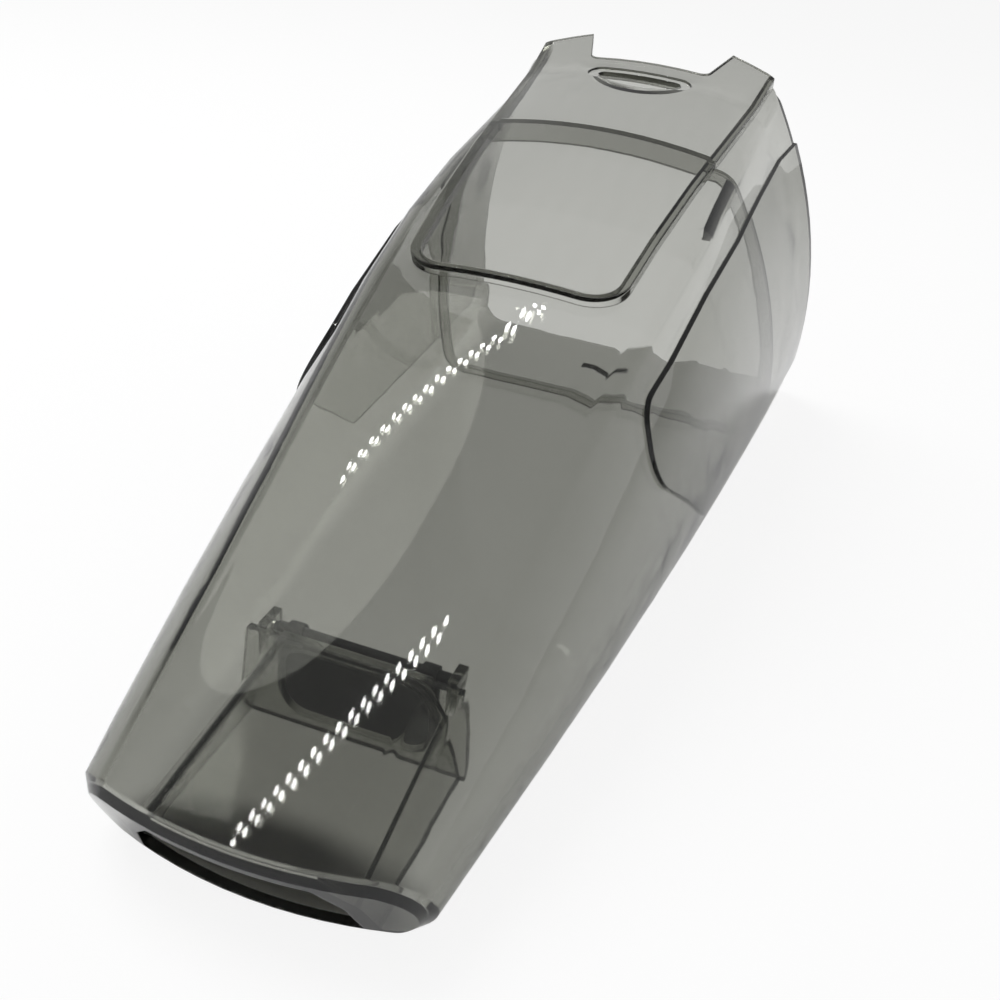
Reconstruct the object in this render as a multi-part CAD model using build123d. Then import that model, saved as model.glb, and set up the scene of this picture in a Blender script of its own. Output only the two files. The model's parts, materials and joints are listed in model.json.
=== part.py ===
"""Cyclone dust bin: a clear one-piece bin with an inlet duct in its nose, and the duct's rubber flap.

Millimetres, +Z up. The bin lies on its flat back wall with the nose toward -Y, the mouth toward +Y
and the front panel up. The shell is drawn in the mouth's own axes (y out of the mouth, z toward the
front, y = 0 on the seal ledge) and tipped down onto its back wall at the end.
"""
import os
from math import atan2, cos, degrees, hypot, prod, radians, sin, sqrt, tan

from build123d import *

# Mouth: rim as (y, z) at the back and at the front, tongue corners as (half width, y)
RIM_BACK = (44.0, -72.0)
RIM_FRONT = (53.0, 36.0)
SHOULDER = (36.2, 54.8)
SHOULDER_R = 7.0
PEAK = (20.8, 60.2)
NOTCH = (16.6, 44.3)
NOTCH_CORNER_R = 3.0
LEDGE_WIDTH = 2.8
LEDGE_THICK = 2.4

# Shell
WALL = 2.2
BACK_DROP = 50.5        # mouth axis to the back wall, at the ledge
NOSE_TIP = -197.8
NOSE_BACK_Z = 35.5      # back wall at the nose tip
NOSE_RADIUS = 95.0
NOSE_EDGE = 2.0
BACK_TILT = degrees(atan2(NOSE_BACK_Z + BACK_DROP, -NOSE_TIP))
BACK_SKIM = 0.02        # taken off the back wall to leave it one true plane
# y, front half width, back half width, side bulge, crease height, crown, crease and corner radii
STATIONS = [
    (NOSE_TIP - 10, 23.5, 24.0, 5.0, 53.5, 1.5, 3.2, 4.0),
    (NOSE_TIP * 0.94, 24.5, 27.5, 6.5, 55.0, 2.0, 4.0, 5.0),
    (NOSE_TIP * 0.66, 26.5, 36.5, 9.5, 57.5, 3.0, 7.0, 6.0),
    (NOSE_TIP * 0.33, 32.0, 45.5, 8.5, 56.5, 3.6, 8.0, 8.0),
    (0, 34.6, 52.5, 7.3, 46.0, 4.8, 8.0, 9.0),
    (PEAK[1] + 4, 36.6, 55.5, 10.5, 35.6, 4.2, 8.0, 9.0),
]
SPANS = 10              # straight spans that follow the stations' curves

# Front boss, as (half width, y), and the side grip pads, as (y, z), both running out past the rim
BOSS_RISE = 2.6
BOSS_FOOT = (24.2, -71.5)
BOSS_HEAD = (35.2, PEAK[1] + 10)
BOSS_CORNER_R = 9.5
PAD_RISE = 0.9
PAD_HEAD_Y = RIM_FRONT[0] + 17
PAD_OUTLINE = [(PAD_HEAD_Y, -66), (PAD_HEAD_Y, 18), (0, 35.5), (-45, 46.3), (-87, 51.5), (-97, 41), (-69, -3)]
PAD_CORNER_R = 9.0

# Guide ribs under the creases
RIB_HALF = 33.0
RIB_THICK = 1.6
RIB_HEIGHT = 5.0
RIB_LENGTH = 26.0

# Latch slot with its thumb scoop, and the hook slot in the back wall
LATCH_SLOT = (23.0, 3.2)
LATCH_FRAME = (29.0, 7.0)
LATCH_FRAME_DEPTH = 0.5
LATCH_Y = NOTCH[1] - 9.8
SCOOP_HALF = 13.0
SCOOP_DEPTH = 1.8
SCOOP_REACH = 6.0       # below the slot's frame
HOOK_SLOT = (22.0, 3.6)
HOOK_Y = RIM_BACK[0] - 20.5

# Inlet duct on the floor, half outlines as (x, height) at the nose and at the flap
FLOOR = WALL * cos(radians(BACK_TILT))
DUCT_WALL = 1.8
DUCT_LENGTH = 39.6
DUCT_NOSE_Y = NOSE_TIP / cos(radians(BACK_TILT)) + BACK_DROP * sin(radians(BACK_TILT))
DUCT_END_Y = DUCT_NOSE_Y + DUCT_LENGTH
DUCT_NOSE = [(22.6, 1.0), (20.2, 10.4), (15.2, 16.8)]
DUCT_END = [(23.5, 1.0), (18.6, 16.5), (14.8, 22.6)]
DUCT_EDGE_R = 2.6

# Frame across the end of the duct, half outline, and its opening as half width, low and high edge
FRAME_THICK = 1.8
FRAME_OUTLINE = [(24.0, 1.0), (21.8, 22.0)]
FRAME_OPENING = (14.5, 4.5, 19.5)
FRAME_CORNER_R = 5.0

# Flap over the opening and the two ears that carry it
FLAP_THICK = 1.6
FLAP_SEAT_GAP = 0.4     # closed flap to the frame
FLAP_LAP = 1.5          # flap over the edge of the opening
BEAD_R = 1.3
BEAD_HALF = 17.5
KNUCKLE_R = 2.0
KNUCKLE_LENGTH = 3.0
KNUCKLE_X = 13.5
PIN_R = 1.0
PIN_CLEAR = 0.08        # pin to ear hole, on the radius
EAR_GAP = 0.4           # bead end to ear
EAR_THICK = 1.8
EAR_HALF = 2.4
EAR_DROP = 6.0          # ear's root on the frame, below the hinge
HINGE_Y = DUCT_END_Y + FLAP_SEAT_GAP + KNUCKLE_R
HINGE_Z = FRAME_OPENING[2] + FLAP_LAP

REACH = 400.0           # cutting tools run past the whole bin
SIDE_VIEW = Plane((0, 0, 0), x_dir=(0, 1, 0), z_dir=(1, 0, 0))


def end_view(y):
    """The plane across the duct at a place along it, facing the nose."""
    return Plane((0, y, 0), x_dir=(1, 0, 0), z_dir=(0, -1, 0))


def circle(a, b, c):
    """Centre and radius of the circle through three points."""
    d = 2 * (a[0] * (b[1] - c[1]) + b[0] * (c[1] - a[1]) + c[0] * (a[1] - b[1]))
    qa, qb, qc = (p[0] ** 2 + p[1] ** 2 for p in (a, b, c))
    x = (qa * (b[1] - c[1]) + qb * (c[1] - a[1]) + qc * (a[1] - b[1])) / d
    z = (qa * (c[0] - b[0]) + qb * (a[0] - c[0]) + qc * (b[0] - a[0])) / d
    return x, z, hypot(a[0] - x, a[1] - z)


def section(row, grow):
    """One cross-section of the shell, grown outward or inward by a skin distance."""
    y, front_half, back_half, bulge, crease_z, crown, crease_r, corner_r = row
    low = -BACK_DROP - y * tan(radians(BACK_TILT))
    mid = ((front_half + back_half) / 2 + bulge, (crease_z + low) / 2)
    side_x, side_z, side_r = circle((back_half, low), mid, (front_half, crease_z))
    front_r = (front_half ** 2 + crown ** 2) / (2 * crown)
    front_z = crease_z + crown - front_r
    # the grown back line, side arc and front arc meet in the grown corners
    low -= grow
    top = crease_z + crown + grow
    side_r, front_r, reach = side_r + grow, front_r + grow, (side_r + grow) / side_r
    mid = (side_x + (mid[0] - side_x) * reach, side_z + (mid[1] - side_z) * reach)
    corner = (side_x + sqrt(side_r ** 2 - (low - side_z) ** 2), low)
    gap = hypot(side_x, side_z - front_z)
    along = (gap ** 2 + front_r ** 2 - side_r ** 2) / (2 * gap)
    off = sqrt(front_r ** 2 - along ** 2)
    ux, uz = side_x / gap, (side_z - front_z) / gap
    meets = [(along * ux - k * off * uz, front_z + along * uz + k * off * ux) for k in (1, -1)]
    crease = min(meets, key=lambda p: hypot(p[0] - front_half, p[1] - crease_z))
    with BuildSketch(end_view(y)) as sketch:
        with BuildLine():
            Line((-corner[0], low), corner)
            ThreePointArc(corner, mid, crease)
            ThreePointArc(crease, (0, top), (-crease[0], crease[1]))
            ThreePointArc((-crease[0], crease[1]), (-mid[0], mid[1]), (-corner[0], low))
        make_face()
        fillet(sketch.vertices().sort_by(Axis.Y)[2:], crease_r + grow)
        fillet(sketch.vertices().sort_by(Axis.Y)[:2], corner_r + grow)
    return sketch.sketch


def row_at(y):
    """The sizes of a cross-section anywhere along the bin, on smooth curves through the stations."""
    weights = [prod((y - b[0]) / (a[0] - b[0]) for b in STATIONS if b is not a) for a in STATIONS]
    return [sum(weight * row[k] for weight, row in zip(weights, STATIONS)) for k in range(len(STATIONS[0]))]


def skin(grow, start=STATIONS[0][0]):
    """The shell's outside from a place along it to past the mouth, grown by a skin distance."""
    end = STATIONS[-1][0]
    return loft([section(row_at(start + (end - start) * i / SPANS), grow) for i in range(SPANS + 1)], ruled=True)


def crest(y, half):
    """Height of the plain front panel over the mouth axis, at a place across it."""
    hits = skin(0).find_intersection_points(Axis((half, y, 0), (0, 0, 1)))
    return max(point.Z for point, normal in hits)


def prism(points, plane, length, corners=(), radius=0.0):
    """A straight prism on a polygon, with some of its corners rounded."""
    with BuildSketch(plane) as sketch:
        with BuildLine():
            Polyline(*points, close=True)
        make_face()
        if corners:
            fillet([sketch.vertices().sort_by_distance(points[i])[0] for i in corners], radius)
    return extrude(sketch.sketch, length)


def mirrored(half_outline):
    """A closed outline from its right-hand half, bottom to top."""
    return half_outline + [(-x, z) for x, z in reversed(half_outline)]


def nose_end(inset):
    """The space beyond the rounded end of the nose, or beyond the inside of that end wall."""
    block = Pos(0, NOSE_TIP, 0) * Box(REACH, NOSE_RADIUS, REACH)
    return block - Pos(0, NOSE_TIP + NOSE_RADIUS, 0) * Cylinder(NOSE_RADIUS - inset, REACH)


def boss(grow, inset):
    (foot_half, foot_y), (head_half, head_y) = BOSS_FOOT, BOSS_HEAD
    foot = [(foot_half - inset, foot_y + inset), (-foot_half + inset, foot_y + inset)]
    head = [(-head_half + inset, head_y), (head_half - inset, head_y)]
    return skin(grow) & prism(foot + head, Plane.XY, REACH, (0, 1), BOSS_CORNER_R - inset)


def grip_pads():
    pad = prism(PAD_OUTLINE, SIDE_VIEW, REACH, (4, 5, 6), PAD_CORNER_R)
    return skin(PAD_RISE) & (pad + mirror(pad, Plane.YZ))


def ledge():
    """A slab across the bin with the mouth's clear opening through it."""
    slab = Pos(0, -LEDGE_THICK / 2, 0) * Box(REACH, LEDGE_THICK, REACH)
    return slab - skin(-WALL - LEDGE_WIDTH, STATIONS[3][0])


def guide_ribs():
    start, end = -LEDGE_THICK / 2, -LEDGE_THICK - RIB_LENGTH
    low_edge = [(y, crest(y, RIB_HALF) - WALL - RIB_HEIGHT) for y in (start, end)]
    outline = [(start, REACH)] + low_edge + [(end, REACH)]
    rib = prism(outline, SIDE_VIEW.offset(RIB_HALF - RIB_THICK / 2), RIB_THICK, (2,), RIB_HEIGHT)
    return rib + mirror(rib, Plane.YZ)


def scoop(grow):
    """The thumb scoop's ball, cut flat at its upper edge."""
    edge_y = LATCH_Y - LATCH_FRAME[1] / 2
    top, foot = (crest(y, 0) + BOSS_RISE for y in (edge_y, edge_y - SCOOP_REACH))
    across = (SCOOP_HALF ** 2 + SCOOP_DEPTH ** 2) / (2 * SCOOP_DEPTH)
    ball_z = top - SCOOP_DEPTH + across
    up = (across ** 2 - (ball_z - foot) ** 2 - SCOOP_REACH ** 2) / (2 * SCOOP_REACH)
    flat = Pos(0, edge_y + grow - REACH / 2, ball_z) * Box(REACH, REACH, REACH)
    return Pos(0, edge_y + up, ball_z) * Sphere(hypot(across, up) + grow) & flat


def front_slot(size, height):
    return extrude(Plane((0, LATCH_Y, height)) * SlotOverall(*size), REACH)


def mouth_cut():
    """Everything past the rim, around the tongue and in its notch."""
    (back_y, low), (front_y, high) = RIM_BACK, RIM_FRONT
    lean = (front_y - back_y) / (high - low)
    past = prism([(back_y - REACH * lean, low - REACH), (front_y + REACH * lean, high + REACH),
                  (2 * REACH, high + REACH), (2 * REACH, low - REACH)], SIDE_VIEW.offset(-REACH), 2 * REACH)
    tongue = prism(mirrored([(SHOULDER[0], 0), SHOULDER, PEAK]), Plane.XY, REACH, (1, 4), SHOULDER_R)
    flare = (PEAK[0] - NOTCH[0]) / (PEAK[1] - NOTCH[1])
    notch = prism(mirrored([NOTCH, (PEAK[0] + REACH * flare, PEAK[1] + REACH)]), Plane.XY, REACH,
                  (0, 3), NOTCH_CORNER_R)
    return past - tongue + notch


def duct(inset):
    """The duct's outside, or its air space down to the floor."""
    faces = []
    stations = ((DUCT_NOSE_Y - DUCT_LENGTH, DUCT_NOSE), (DUCT_NOSE_Y, DUCT_NOSE), (DUCT_END_Y, DUCT_END))
    for y, (base, shoulder, top) in stations:
        outline = mirrored([(base[0], FLOOR - DUCT_WALL), shoulder, top])
        with BuildSketch(end_view(y)) as sketch:
            with BuildLine():
                Polyline(*outline, close=True)
            make_face()
            if inset:
                offset(amount=-inset, kind=Kind.INTERSECTION, mode=Mode.REPLACE)
            fillet(sketch.vertices().sort_by(Axis.Y)[2:], DUCT_EDGE_R - inset)
        faces.append(sketch.sketch)
    return loft(faces, ruled=True)


def frame():
    """The end plate of the duct with a rounded opening."""
    half, low, high = FRAME_OPENING
    face = end_view(DUCT_END_Y)
    hole = prism(mirrored([(half, low), (half, high)]), face, FRAME_THICK, (0, 1, 2, 3), FRAME_CORNER_R)
    plate = prism(mirrored(FRAME_OUTLINE), face, FRAME_THICK) + prism(mirrored(DUCT_END), face, FRAME_THICK)
    return plate - hole


def ears():
    """Two lugs behind the frame with holes for the flap's pins."""
    lug = Plane((BEAD_HALF + EAR_GAP, HINGE_Y, HINGE_Z), x_dir=(0, 1, 0), z_dir=(1, 0, 0))
    root = DUCT_END_Y - FRAME_THICK / 2 - HINGE_Y
    outline = [(root, EAR_HALF), (root, -EAR_DROP), (EAR_HALF, -EAR_HALF), (EAR_HALF, EAR_HALF)]
    ear = prism(outline, lug, EAR_THICK) - extrude(lug * Circle(PIN_R + PIN_CLEAR), EAR_THICK)
    return ear + mirror(ear, Plane.YZ)


def bin_node():
    body = skin(0) + boss(BOSS_RISE, 0) + grip_pads() - nose_end(0)
    body = chamfer(body.faces().sort_by(Axis.Y)[0].edges(), NOSE_EDGE)
    hollow = skin(-WALL) + boss(BOSS_RISE - WALL, WALL) - nose_end(WALL)
    shell = body - (hollow - ledge() - guide_ribs() - scoop(WALL))
    shell -= scoop(0) + front_slot(LATCH_SLOT, 0)
    shell -= front_slot(LATCH_FRAME, 0) - skin(BOSS_RISE - LATCH_FRAME_DEPTH)
    shell -= extrude(Plane((0, HOOK_Y, 0)) * Rectangle(*HOOK_SLOT), -REACH)
    shell -= mouth_cut()
    lay_down = Pos(0, 0, BACK_DROP * cos(radians(BACK_TILT)) - BACK_SKIM) * Rot(X=BACK_TILT)
    ground = Pos(0, 0, -REACH / 2) * Box(2 * REACH, 2 * REACH, REACH)
    shell, body = lay_down * shell - ground, lay_down * body - ground
    air = duct(DUCT_WALL)
    return shell - air + ((duct(0) - air) & body) + frame() + ears()


def flap_node():
    """A plate hung from a bead along its top edge, with two knuckles and a pin at each end."""
    half, low, high = FRAME_OPENING
    half, low = half + FLAP_LAP, low - FLAP_LAP
    plate = prism(mirrored([(half, low), (half, HINGE_Z)]), end_view(DUCT_END_Y + FLAP_SEAT_GAP + FLAP_THICK),
                  FLAP_THICK, (0, 3), FRAME_CORNER_R + FLAP_LAP)
    across = Plane((0, HINGE_Y, HINGE_Z), x_dir=(0, 1, 0), z_dir=(1, 0, 0))
    bead = extrude(across * Circle(BEAD_R), BEAD_HALF, both=True)
    pins = extrude(across * Circle(PIN_R), BEAD_HALF + EAR_GAP + EAR_THICK, both=True)
    knuckle = extrude(across.offset(KNUCKLE_X - KNUCKLE_LENGTH / 2) * Circle(KNUCKLE_R), KNUCKLE_LENGTH)
    return plate + bead + pins + knuckle + mirror(knuckle, Plane.YZ)


def main():
    nodes = {"bin": bin_node(), "flap": flap_node()}
    middle = nodes["bin"].bounding_box().center().Y
    os.makedirs("parts", exist_ok=True)
    for name, shape in nodes.items():
        shape = Pos(0, -middle, 0) * shape
        shape.label = name
        export_step(shape, f"parts/{name}.step")


if __name__ == "__main__":
    main()
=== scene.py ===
"""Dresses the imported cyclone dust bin: clear smoke plastic shell, black rubber flap, white studio."""
import json
from math import pi, radians

import bpy
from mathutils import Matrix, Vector
from mathutils.kdtree import KDTree

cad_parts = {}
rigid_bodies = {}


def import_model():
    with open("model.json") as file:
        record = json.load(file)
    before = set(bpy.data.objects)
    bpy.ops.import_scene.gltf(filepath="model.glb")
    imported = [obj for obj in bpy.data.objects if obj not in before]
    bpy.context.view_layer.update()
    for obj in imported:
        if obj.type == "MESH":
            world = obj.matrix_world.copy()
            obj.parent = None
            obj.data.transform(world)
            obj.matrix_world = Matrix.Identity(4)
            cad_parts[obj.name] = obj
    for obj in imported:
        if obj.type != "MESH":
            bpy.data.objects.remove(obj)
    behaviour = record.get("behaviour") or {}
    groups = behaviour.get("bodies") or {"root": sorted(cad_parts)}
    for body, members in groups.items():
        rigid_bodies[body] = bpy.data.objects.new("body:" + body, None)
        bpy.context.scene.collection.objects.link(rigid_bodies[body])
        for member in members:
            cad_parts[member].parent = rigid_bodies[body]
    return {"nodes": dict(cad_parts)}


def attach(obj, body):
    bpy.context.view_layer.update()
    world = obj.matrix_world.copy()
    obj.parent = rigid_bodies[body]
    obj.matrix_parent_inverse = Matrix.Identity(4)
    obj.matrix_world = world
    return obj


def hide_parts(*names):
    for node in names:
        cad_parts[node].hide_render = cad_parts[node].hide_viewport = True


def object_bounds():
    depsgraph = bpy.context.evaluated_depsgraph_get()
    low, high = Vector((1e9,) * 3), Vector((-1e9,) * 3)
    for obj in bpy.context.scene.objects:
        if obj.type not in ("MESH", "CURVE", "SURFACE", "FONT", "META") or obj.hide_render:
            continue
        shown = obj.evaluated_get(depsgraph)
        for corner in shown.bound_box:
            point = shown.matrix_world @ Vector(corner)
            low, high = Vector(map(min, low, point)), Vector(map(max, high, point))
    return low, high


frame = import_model()
CAD_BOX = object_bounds()

bl_info = {
    "name": "Cyclone dust bin",
    "version": (1, 0, 0),
    "blender": (4, 5, 0),
    "location": "View3D > Sidebar > Dust Bin",
    "description": "Finishes a packed cyclone dust bin and sets up its studio",
    "category": "Object",
}

WHITE = (1.0, 1.0, 1.0, 1.0)

# Joining of the CAD triangles: distance in metres, and the angle up to which faces count as flat
MERGE_DISTANCE = 1e-6
FLAT_ANGLE = radians(0.05)

# Clear plastic: handling marks and slow waves, with scales per metre
PLASTIC_IOR = 1.49
HANDLING_SCALE = 22.0
HANDLING_DETAIL = 6.0
HANDLING_RANGE = (0.35, 0.75)
POLISH_SHARES = (0.5, 2.0)  # of the roughness, without and with marks
WAVE_SCALE = 35.0
WAVE_DETAIL = 1.0
WAVE_HEIGHT = 0.002
EDGE_SAMPLES = 6

# Rubber: pale bloom, with its scale per metre, and how far it lightens and roughens the surface
BLOOM_SCALE = 120.0
BLOOM_DETAIL = 5.0
BLOOM_RANGE = (0.35, 0.8)
BLOOM_LIFT = 2.2
MATT_SPREAD = (-0.08, 0.12)
GRAIN_STRENGTH = 0.25
GRAIN_DEPTH = 0.25  # of the grain's size
FLAP_EDGE_SEGMENTS = 2
FLAP_EDGE_ANGLE = radians(50)
FLAP_CREASE_ANGLE = radians(35)

# Lamps, in metres
KEY_PLACE = (-0.5, 0.1, 0.9)
KEY_TURN = (0.0, radians(-29), 0.0)
KEY_SIZE = 0.7
STRIPS = (((-0.25, 0.155, 0.7), radians(37.0)), ((-0.12, -0.247, 0.7), radians(40.0)))  # place, turn about Z
POINT_CUT = 0.35  # product of the two waves above which a lamp point shines

# Floor, sky and camera
SHADE_CENTRE = 0.75  # of the nose shade's half width, from the nose tip backwards
SHADE_FULL = 0.5  # gradient value from which the nose shade is full
SKY_TOP = 0.6  # Z of a direction from which the overhead light is even
SENSOR_WIDTH = 36.0
CLIP_START = 0.01


class SmokePlasticSettings(bpy.types.PropertyGroup):
    """Look of the clear moulding."""

    tint: bpy.props.FloatVectorProperty(
        name="Smoke tint", description="Colour that the plastic lets through", subtype="COLOR",
        size=3, min=0.0, max=1.0, default=(0.505, 0.51, 0.466))
    density: bpy.props.FloatProperty(
        name="Smoke density", description="How quickly the plastic darkens with its thickness, per metre",
        min=0.0, default=540.0)
    roughness: bpy.props.FloatProperty(
        name="Roughness", description="Roughness of the polished surface", subtype="FACTOR",
        min=0.0, max=1.0, default=0.02)
    ripple: bpy.props.FloatProperty(
        name="Mould ripple", description="Strength of the slow waves in the moulded surface",
        subtype="FACTOR", min=0.0, max=1.0, default=0.02)
    crease_angle: bpy.props.FloatProperty(
        name="Crease angle", description="Edges flatter than this are shaded smooth", subtype="ANGLE",
        unit="ROTATION", default=radians(12))
    edge: bpy.props.FloatProperty(
        name="Edge radius", description="Rounding of the moulded edges", subtype="DISTANCE",
        unit="LENGTH", min=0.0, default=0.0004)


class RubberSettings(bpy.types.PropertyGroup):
    """Look of the flap."""

    colour: bpy.props.FloatVectorProperty(
        name="Rubber colour", description="Base colour of the rubber", subtype="COLOR",
        size=3, min=0.0, max=1.0, default=(0.024, 0.024, 0.026))
    roughness: bpy.props.FloatProperty(
        name="Roughness", description="Roughness of the matt rubber", subtype="FACTOR",
        min=0.0, max=1.0, default=0.55)
    grain: bpy.props.FloatProperty(
        name="Grain size", description="Size of the grain in the rubber", subtype="DISTANCE",
        unit="LENGTH", min=0.0001, default=0.0006)
    edge: bpy.props.FloatProperty(
        name="Edge radius", description="Rounding of the moulded edges", subtype="DISTANCE",
        unit="LENGTH", min=0.0, default=0.0002)


class StudioSettings(bpy.types.PropertyGroup):
    """Floor, light and camera."""

    floor_size: bpy.props.FloatProperty(
        name="Floor size", description="Width of the pale floor", subtype="DISTANCE",
        unit="LENGTH", default=40.0)
    floor_colour: bpy.props.FloatVectorProperty(
        name="Floor colour", description="Colour of the floor", subtype="COLOR",
        size=3, min=0.0, max=1.0, default=(0.9, 0.9, 0.9))
    floor_drop: bpy.props.FloatProperty(
        name="Floor drop", description="Air gap between the floor and the back wall", subtype="DISTANCE",
        unit="LENGTH", default=0.0003)
    floor_glow: bpy.props.FloatProperty(
        name="Floor glow", description="How far the floor is shown as plain white", subtype="FACTOR",
        min=0.0, max=1.0, default=0.88)
    floor_glow_through: bpy.props.FloatProperty(
        name="Floor glow through plastic", description="The same for views through the plastic",
        subtype="FACTOR", min=0.0, max=1.0, default=0.75)
    floor_glow_mirrored: bpy.props.FloatProperty(
        name="Floor glow in mirror images",
        description="The same for the floor as the outside of the plastic mirrors it",
        subtype="FACTOR", min=0.0, max=1.0, default=0.25)
    nose_shade: bpy.props.FloatVectorProperty(
        name="Nose shade", description="Half length and half width of the shade under the nose",
        subtype="XYZ_LENGTH", unit="LENGTH", size=2, default=(0.040, 0.016))
    sky: bpy.props.FloatProperty(
        name="Overhead light", description="Strength of the light from above, where the horizon has 1",
        min=0.0, default=0.35)
    key_power: bpy.props.FloatProperty(
        name="Key lamp", description="Power of the large soft lamp", subtype="POWER", unit="POWER",
        min=0.0, default=7.0)
    strip_power: bpy.props.FloatProperty(
        name="Strip lamps", description="Power of each slim overhead lamp", subtype="POWER", unit="POWER",
        min=0.0, default=1.0)
    strip_size: bpy.props.FloatVectorProperty(
        name="Strip size", description="Length and width of each slim lamp", subtype="XYZ_LENGTH",
        unit="LENGTH", size=2, default=(0.40, 0.026))
    strip_dots: bpy.props.IntProperty(
        name="Strip dots", description="Rows of light points along each slim lamp", min=2, default=36)
    camera_place: bpy.props.FloatVectorProperty(
        name="Camera place", description="Where the camera stands", subtype="TRANSLATION", unit="LENGTH",
        size=3, default=(0.0657, -0.2343, 0.1504))
    camera_turn: bpy.props.FloatVectorProperty(
        name="Camera turn", description="How the camera is turned", subtype="EULER", unit="ROTATION",
        size=3, default=(radians(59.695), radians(-5.734), radians(19.507)))
    camera_lens: bpy.props.FloatProperty(
        name="Lens", description="Focal length on a 36 mm wide sensor", subtype="DISTANCE_CAMERA",
        unit="CAMERA", min=1.0, default=39.6)


def empty_tree(owner):
    """Empties the node tree of a material, lamp or world and gives its nodes and links."""
    owner.use_nodes = True
    owner.node_tree.nodes.clear()
    return owner.node_tree.nodes, owner.node_tree.links


def merged_copy(node, name):
    """A copy of a CAD node with its loose triangles joined, selected and active."""
    bpy.ops.object.select_all(action="DESELECT")
    source = frame["nodes"][node]
    source.select_set(True)
    bpy.context.view_layer.objects.active = source
    bpy.ops.object.duplicate()
    piece = bpy.context.view_layer.objects.active
    bpy.ops.object.parent_clear(type="CLEAR_KEEP_TRANSFORM")
    for key in list(piece.keys()):
        del piece[key]
    piece.name = piece.data.name = name
    bpy.ops.object.mode_set(mode="EDIT")
    bpy.ops.mesh.select_all(action="SELECT")
    bpy.ops.mesh.customdata_custom_splitnormals_clear()
    bpy.ops.mesh.remove_doubles(threshold=MERGE_DISTANCE)
    bpy.ops.mesh.dissolve_limited(angle_limit=FLAT_ANGLE)
    bpy.ops.object.mode_set(mode="OBJECT")
    return piece


def surface_normals(node, piece, crease_angle):
    """Gives a merged copy the normals of the CAD surfaces, averaged where these run on smoothly."""
    cad = frame["nodes"][node].data
    places = KDTree(len(cad.loops))
    for loop in cad.loops:
        places.insert(cad.vertices[loop.vertex_index].co, loop.index)
    places.balance()
    normals = []
    for face in piece.data.polygons:
        for index in face.vertices:
            near = places.find_range(piece.data.vertices[index].co, MERGE_DISTANCE)
            ways = [cad.corner_normals[found[1]].vector for found in near]
            ways = [way for way in ways if way.angle(face.normal) < crease_angle] or [face.normal]
            normals.append(sum(ways, Vector()).normalized())
    piece.data.normals_split_custom_set(normals)


def smoke_plastic(settings):
    """Clear plastic that darkens with its thickness, with handling marks, slow waves and rounded edges."""
    material = bpy.data.materials.new("smoke_plastic")
    nodes, links = empty_tree(material)
    output = nodes.new("ShaderNodeOutputMaterial")
    surface = nodes.new("ShaderNodeBsdfPrincipled")
    surface.inputs["Base Color"].default_value = WHITE
    surface.inputs["Transmission Weight"].default_value = 1.0
    surface.inputs["IOR"].default_value = PLASTIC_IOR
    smoke = nodes.new("ShaderNodeVolumeAbsorption")
    smoke.inputs["Color"].default_value = (*settings.tint, 1.0)
    smoke.inputs["Density"].default_value = settings.density
    place = nodes.new("ShaderNodeTexCoord")
    handling = nodes.new("ShaderNodeTexNoise")
    handling.inputs["Scale"].default_value = HANDLING_SCALE
    handling.inputs["Detail"].default_value = HANDLING_DETAIL
    polish = nodes.new("ShaderNodeMapRange")
    polish.inputs["From Min"].default_value = HANDLING_RANGE[0]
    polish.inputs["From Max"].default_value = HANDLING_RANGE[1]
    polish.inputs["To Min"].default_value = settings.roughness * POLISH_SHARES[0]
    polish.inputs["To Max"].default_value = settings.roughness * POLISH_SHARES[1]
    wave = nodes.new("ShaderNodeTexNoise")
    wave.inputs["Scale"].default_value = WAVE_SCALE
    wave.inputs["Detail"].default_value = WAVE_DETAIL
    ripple = nodes.new("ShaderNodeBump")
    ripple.inputs["Strength"].default_value = settings.ripple
    ripple.inputs["Distance"].default_value = WAVE_HEIGHT
    rounded = nodes.new("ShaderNodeBevel")
    rounded.samples = EDGE_SAMPLES
    rounded.inputs["Radius"].default_value = settings.edge
    links.new(place.outputs["Object"], handling.inputs["Vector"])
    links.new(handling.outputs["Fac"], polish.inputs["Value"])
    links.new(polish.outputs["Result"], surface.inputs["Roughness"])
    links.new(place.outputs["Object"], wave.inputs["Vector"])
    links.new(wave.outputs["Fac"], ripple.inputs["Height"])
    links.new(rounded.outputs["Normal"], ripple.inputs["Normal"])
    links.new(ripple.outputs["Normal"], surface.inputs["Normal"])
    links.new(surface.outputs["BSDF"], output.inputs["Surface"])
    links.new(smoke.outputs["Volume"], output.inputs["Volume"])
    return material


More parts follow.
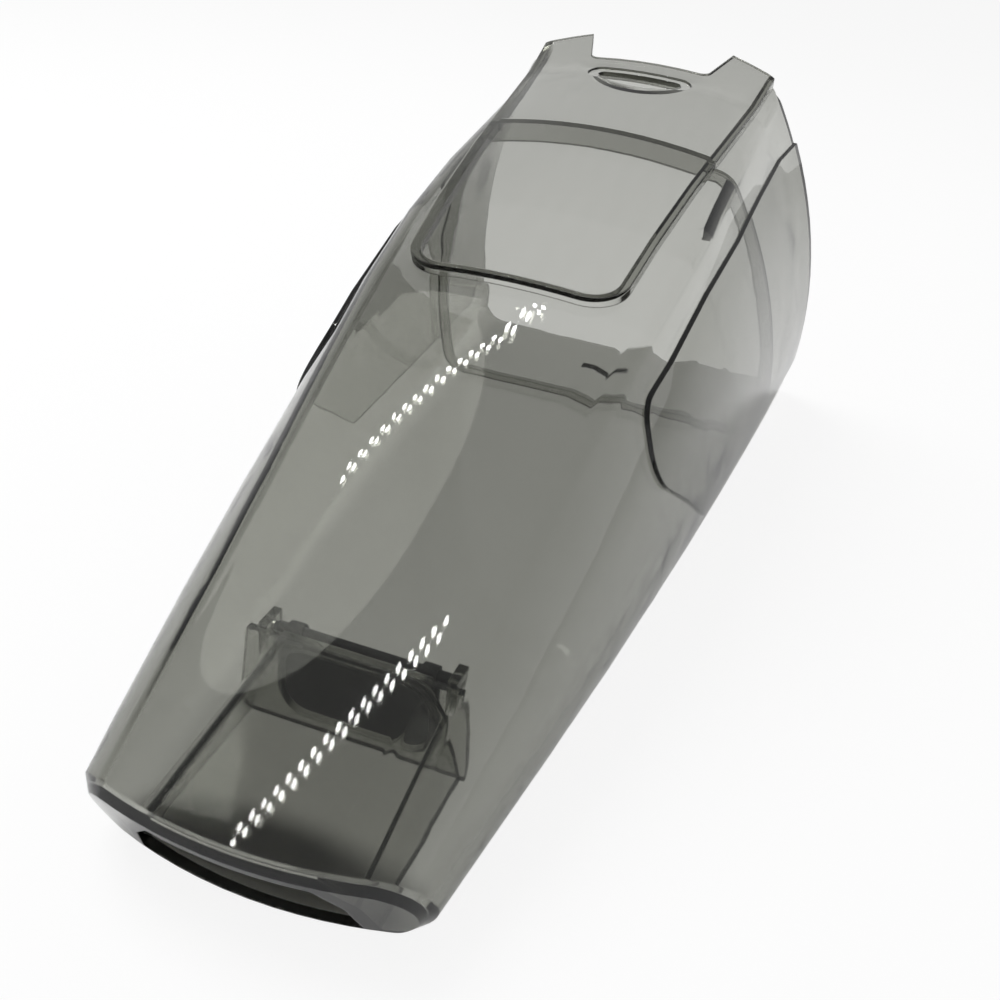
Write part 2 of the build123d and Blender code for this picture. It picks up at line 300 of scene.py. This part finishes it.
def black_rubber(settings):
    """Matt rubber with a fine grain and a faint pale bloom."""
    material = bpy.data.materials.new("black_rubber")
    nodes, links = empty_tree(material)
    output = nodes.new("ShaderNodeOutputMaterial")
    surface = nodes.new("ShaderNodeBsdfPrincipled")
    place = nodes.new("ShaderNodeTexCoord")
    bloom = nodes.new("ShaderNodeTexNoise")
    bloom.inputs["Scale"].default_value = BLOOM_SCALE
    bloom.inputs["Detail"].default_value = BLOOM_DETAIL
    shade = nodes.new("ShaderNodeValToRGB")
    shade.color_ramp.elements[0].position = BLOOM_RANGE[0]
    shade.color_ramp.elements[0].color = (*settings.colour, 1.0)
    shade.color_ramp.elements[1].position = BLOOM_RANGE[1]
    shade.color_ramp.elements[1].color = (*[BLOOM_LIFT * c for c in settings.colour], 1.0)
    matt = nodes.new("ShaderNodeMapRange")
    matt.inputs["To Min"].default_value = settings.roughness + MATT_SPREAD[0]
    matt.inputs["To Max"].default_value = settings.roughness + MATT_SPREAD[1]
    speck = nodes.new("ShaderNodeTexNoise")
    speck.inputs["Scale"].default_value = 1.0 / settings.grain
    grain = nodes.new("ShaderNodeBump")
    grain.inputs["Strength"].default_value = GRAIN_STRENGTH
    grain.inputs["Distance"].default_value = settings.grain * GRAIN_DEPTH
    links.new(place.outputs["Object"], bloom.inputs["Vector"])
    links.new(bloom.outputs["Fac"], shade.inputs["Fac"])
    links.new(shade.outputs["Color"], surface.inputs["Base Color"])
    links.new(bloom.outputs["Fac"], matt.inputs["Value"])
    links.new(matt.outputs["Result"], surface.inputs["Roughness"])
    links.new(place.outputs["Object"], speck.inputs["Vector"])
    links.new(speck.outputs["Fac"], grain.inputs["Height"])
    links.new(grain.outputs["Normal"], surface.inputs["Normal"])
    links.new(surface.outputs["BSDF"], output.inputs["Surface"])
    return material


def finish_piece(piece, material, body):
    """Gives a piece its only material and ties it to its CAD node."""
    piece.data.materials.clear()
    piece.data.materials.append(material)
    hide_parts(body)
    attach(piece, body)


class DUSTBIN_OT_clear_shell(bpy.types.Operator):
    """Finish the one-piece clear moulding"""

    bl_idname = "dustbin.clear_shell"
    bl_label = "Clear shell"
    bl_options = {"REGISTER", "UNDO"}

    def execute(self, context):
        settings = context.scene.dust_bin_plastic
        shell = merged_copy("bin", "clear_shell")
        bpy.ops.object.shade_smooth_by_angle(angle=settings.crease_angle)
        surface_normals("bin", shell, settings.crease_angle)
        finish_piece(shell, smoke_plastic(settings), "bin")
        return {"FINISHED"}


class DUSTBIN_OT_rubber_flap(bpy.types.Operator):
    """Finish the rubber flap over the end of the duct"""

    bl_idname = "dustbin.rubber_flap"
    bl_label = "Rubber flap"
    bl_options = {"REGISTER", "UNDO"}

    def execute(self, context):
        settings = context.scene.dust_bin_rubber
        flap = merged_copy("flap", "rubber_flap")
        rounding = flap.modifiers.new("edges", "BEVEL")
        rounding.width = settings.edge
        rounding.segments = FLAP_EDGE_SEGMENTS
        rounding.angle_limit = FLAP_EDGE_ANGLE
        bpy.ops.object.modifier_apply(modifier=rounding.name)
        bpy.ops.object.shade_smooth_by_angle(angle=FLAP_CREASE_ANGLE)
        finish_piece(flap, black_rubber(settings), "flap")
        return {"FINISHED"}


class DUSTBIN_OT_studio(bpy.types.Operator):
    """Set up the pale floor, the soft light and the camera"""

    bl_idname = "dustbin.studio"
    bl_label = "Studio"
    bl_options = {"REGISTER", "UNDO"}

    def execute(self, context):
        settings = context.scene.dust_bin_studio
        bpy.ops.object.select_all(action="DESELECT")
        bpy.ops.mesh.primitive_plane_add(size=settings.floor_size, location=(0.0, 0.0, -settings.floor_drop))
        bpy.ops.object.transform_apply(location=True)
        floor = context.object
        floor.name = "floor"
        floor.data.materials.append(pale_floor(settings))
        context.scene.world = white_world(settings)
        bpy.ops.object.light_add(type="AREA", location=KEY_PLACE, rotation=KEY_TURN)
        key = context.object
        key.name = "key_lamp"
        key.data.shape = "DISK"
        key.data.size = KEY_SIZE
        key.data.energy = settings.key_power
        key.visible_glossy = False
        for place, turn in STRIPS:
            bpy.ops.object.light_add(type="AREA", location=place, rotation=(0.0, 0.0, turn))
            strip = context.object
            strip.name = "strip_lamp"
            strip.data.shape = "RECTANGLE"
            strip.data.size, strip.data.size_y = settings.strip_size
            strip.data.energy = settings.strip_power
            light_points(strip.data, settings)
        bpy.ops.object.camera_add(location=settings.camera_place, rotation=settings.camera_turn)
        camera = context.object
        camera.data.sensor_width = SENSOR_WIDTH
        camera.data.lens = settings.camera_lens
        camera.data.clip_start = CLIP_START
        context.scene.camera = camera
        context.scene.view_settings.view_transform = "Standard"
        return {"FINISHED"}


def light_points(lamp, settings):
    """Splits a slim lamp into two rows of staggered light points."""
    nodes, links = empty_tree(lamp)
    output = nodes.new("ShaderNodeOutputLight")
    glow = nodes.new("ShaderNodeEmission")
    place = nodes.new("ShaderNodeNewGeometry")
    turns = nodes.new("ShaderNodeVectorMath")
    turns.operation = "MULTIPLY"
    turns.inputs[1].default_value = (pi * settings.strip_dots, 2 * pi, 0.0)
    waves = nodes.new("ShaderNodeVectorMath")
    waves.operation = "SINE"
    split = nodes.new("ShaderNodeSeparateXYZ")
    crossed = nodes.new("ShaderNodeMath")
    crossed.operation = "MULTIPLY"
    points = nodes.new("ShaderNodeMath")
    points.operation = "GREATER_THAN"
    points.inputs[1].default_value = POINT_CUT
    links.new(place.outputs["Parametric"], turns.inputs[0])
    links.new(turns.outputs["Vector"], waves.inputs[0])
    links.new(waves.outputs["Vector"], split.inputs["Vector"])
    links.new(split.outputs["X"], crossed.inputs[0])
    links.new(split.outputs["Y"], crossed.inputs[1])
    links.new(crossed.outputs["Value"], points.inputs[0])
    links.new(points.outputs["Value"], glow.inputs["Strength"])
    links.new(glow.outputs["Emission"], output.inputs["Surface"])


def pale_floor(settings):
    """Pale paint, mostly shown as plain white, with a shade under the nose where seen through the plastic."""
    material = bpy.data.materials.new("pale_floor")
    nodes, links = empty_tree(material)
    output = nodes.new("ShaderNodeOutputMaterial")
    paint = nodes.new("ShaderNodeBsdfDiffuse")
    paint.inputs["Color"].default_value = (*settings.floor_colour, 1.0)
    white = nodes.new("ShaderNodeEmission")
    path = nodes.new("ShaderNodeLightPath")
    shown = nodes.new("ShaderNodeMath")
    shown.operation = "MULTIPLY"
    shown.inputs[1].default_value = settings.floor_glow
    outside = nodes.new("ShaderNodeMath")
    outside.operation = "SUBTRACT"
    outside.use_clamp = True
    mirrored = nodes.new("ShaderNodeMath")
    mirrored.operation = "MULTIPLY_ADD"
    mirrored.inputs[1].default_value = settings.floor_glow_mirrored
    place = nodes.new("ShaderNodeTexCoord")
    under = nodes.new("ShaderNodeMapping")
    under.vector_type = "TEXTURE"
    centre_y = CAD_BOX[0][1] + settings.nose_shade[1] * SHADE_CENTRE
    under.inputs["Location"].default_value = (0.0, centre_y, 0.0)
    under.inputs["Scale"].default_value = (*settings.nose_shade, 1.0)
    shade = nodes.new("ShaderNodeTexGradient")
    shade.gradient_type = "SPHERICAL"
    lit = nodes.new("ShaderNodeMapRange")
    lit.interpolation_type = "SMOOTHSTEP"
    lit.inputs["From Max"].default_value = SHADE_FULL
    lit.inputs["To Min"].default_value = settings.floor_glow_through
    lit.inputs["To Max"].default_value = 0.0
    share = nodes.new("ShaderNodeMath")
    share.operation = "MULTIPLY_ADD"
    mix = nodes.new("ShaderNodeMixShader")
    links.new(path.outputs["Is Camera Ray"], shown.inputs[0])
    links.new(path.outputs["Is Glossy Ray"], outside.inputs[0])
    links.new(path.outputs["Is Transmission Ray"], outside.inputs[1])
    links.new(outside.outputs["Value"], mirrored.inputs[0])
    links.new(shown.outputs["Value"], mirrored.inputs[2])
    links.new(place.outputs["Object"], under.inputs["Vector"])
    links.new(under.outputs["Vector"], shade.inputs["Vector"])
    links.new(shade.outputs["Fac"], lit.inputs["Value"])
    links.new(path.outputs["Is Transmission Ray"], share.inputs[0])
    links.new(lit.outputs["Result"], share.inputs[1])
    links.new(mirrored.outputs["Value"], share.inputs[2])
    links.new(share.outputs["Value"], mix.inputs["Fac"])
    links.new(paint.outputs["BSDF"], mix.inputs[1])
    links.new(white.outputs["Emission"], mix.inputs[2])
    links.new(mix.outputs["Shader"], output.inputs["Surface"])
    return material


def white_world(settings):
    """White light that falls off from the horizon upwards."""
    world = bpy.data.worlds.new("white_world")
    nodes, links = empty_tree(world)
    output = nodes.new("ShaderNodeOutputWorld")
    light = nodes.new("ShaderNodeBackground")
    light.inputs["Color"].default_value = WHITE
    way = nodes.new("ShaderNodeTexCoord")
    height = nodes.new("ShaderNodeSeparateXYZ")
    fall = nodes.new("ShaderNodeMapRange")
    fall.inputs["From Max"].default_value = SKY_TOP
    fall.inputs["To Min"].default_value = 1.0
    fall.inputs["To Max"].default_value = settings.sky
    links.new(way.outputs["Generated"], height.inputs["Vector"])
    links.new(height.outputs["Z"], fall.inputs["Value"])
    links.new(fall.outputs["Result"], light.inputs["Strength"])
    links.new(light.outputs["Background"], output.inputs["Surface"])
    return world


class DUSTBIN_PT_panel(bpy.types.Panel):
    """Sizes and colours of the dust bin, and its pieces"""

    bl_idname = "DUSTBIN_PT_panel"
    bl_label = "Dust Bin"
    bl_space_type = "VIEW_3D"
    bl_region_type = "UI"
    bl_category = "Dust Bin"

    def draw(self, context):
        scene = context.scene
        for operator, settings in (("dustbin.clear_shell", scene.dust_bin_plastic),
                                   ("dustbin.rubber_flap", scene.dust_bin_rubber),
                                   ("dustbin.studio", scene.dust_bin_studio)):
            box = self.layout.box()
            for name in settings.__annotations__:
                box.prop(settings, name)
            box.operator(operator)


CLASSES = (
    SmokePlasticSettings,
    RubberSettings,
    StudioSettings,
    DUSTBIN_OT_clear_shell,
    DUSTBIN_OT_rubber_flap,
    DUSTBIN_OT_studio,
    DUSTBIN_PT_panel,
)


def register():
    for cls in CLASSES:
        bpy.utils.register_class(cls)
    bpy.types.Scene.dust_bin_plastic = bpy.props.PointerProperty(type=SmokePlasticSettings)
    bpy.types.Scene.dust_bin_rubber = bpy.props.PointerProperty(type=RubberSettings)
    bpy.types.Scene.dust_bin_studio = bpy.props.PointerProperty(type=StudioSettings)


def unregister():
    del bpy.types.Scene.dust_bin_studio
    del bpy.types.Scene.dust_bin_rubber
    del bpy.types.Scene.dust_bin_plastic
    for cls in reversed(CLASSES):
        bpy.utils.unregister_class(cls)


def main():
    register()
    bpy.ops.dustbin.clear_shell()
    bpy.ops.dustbin.rubber_flap()
    bpy.ops.dustbin.studio()


if __name__ == "__main__":
    main()
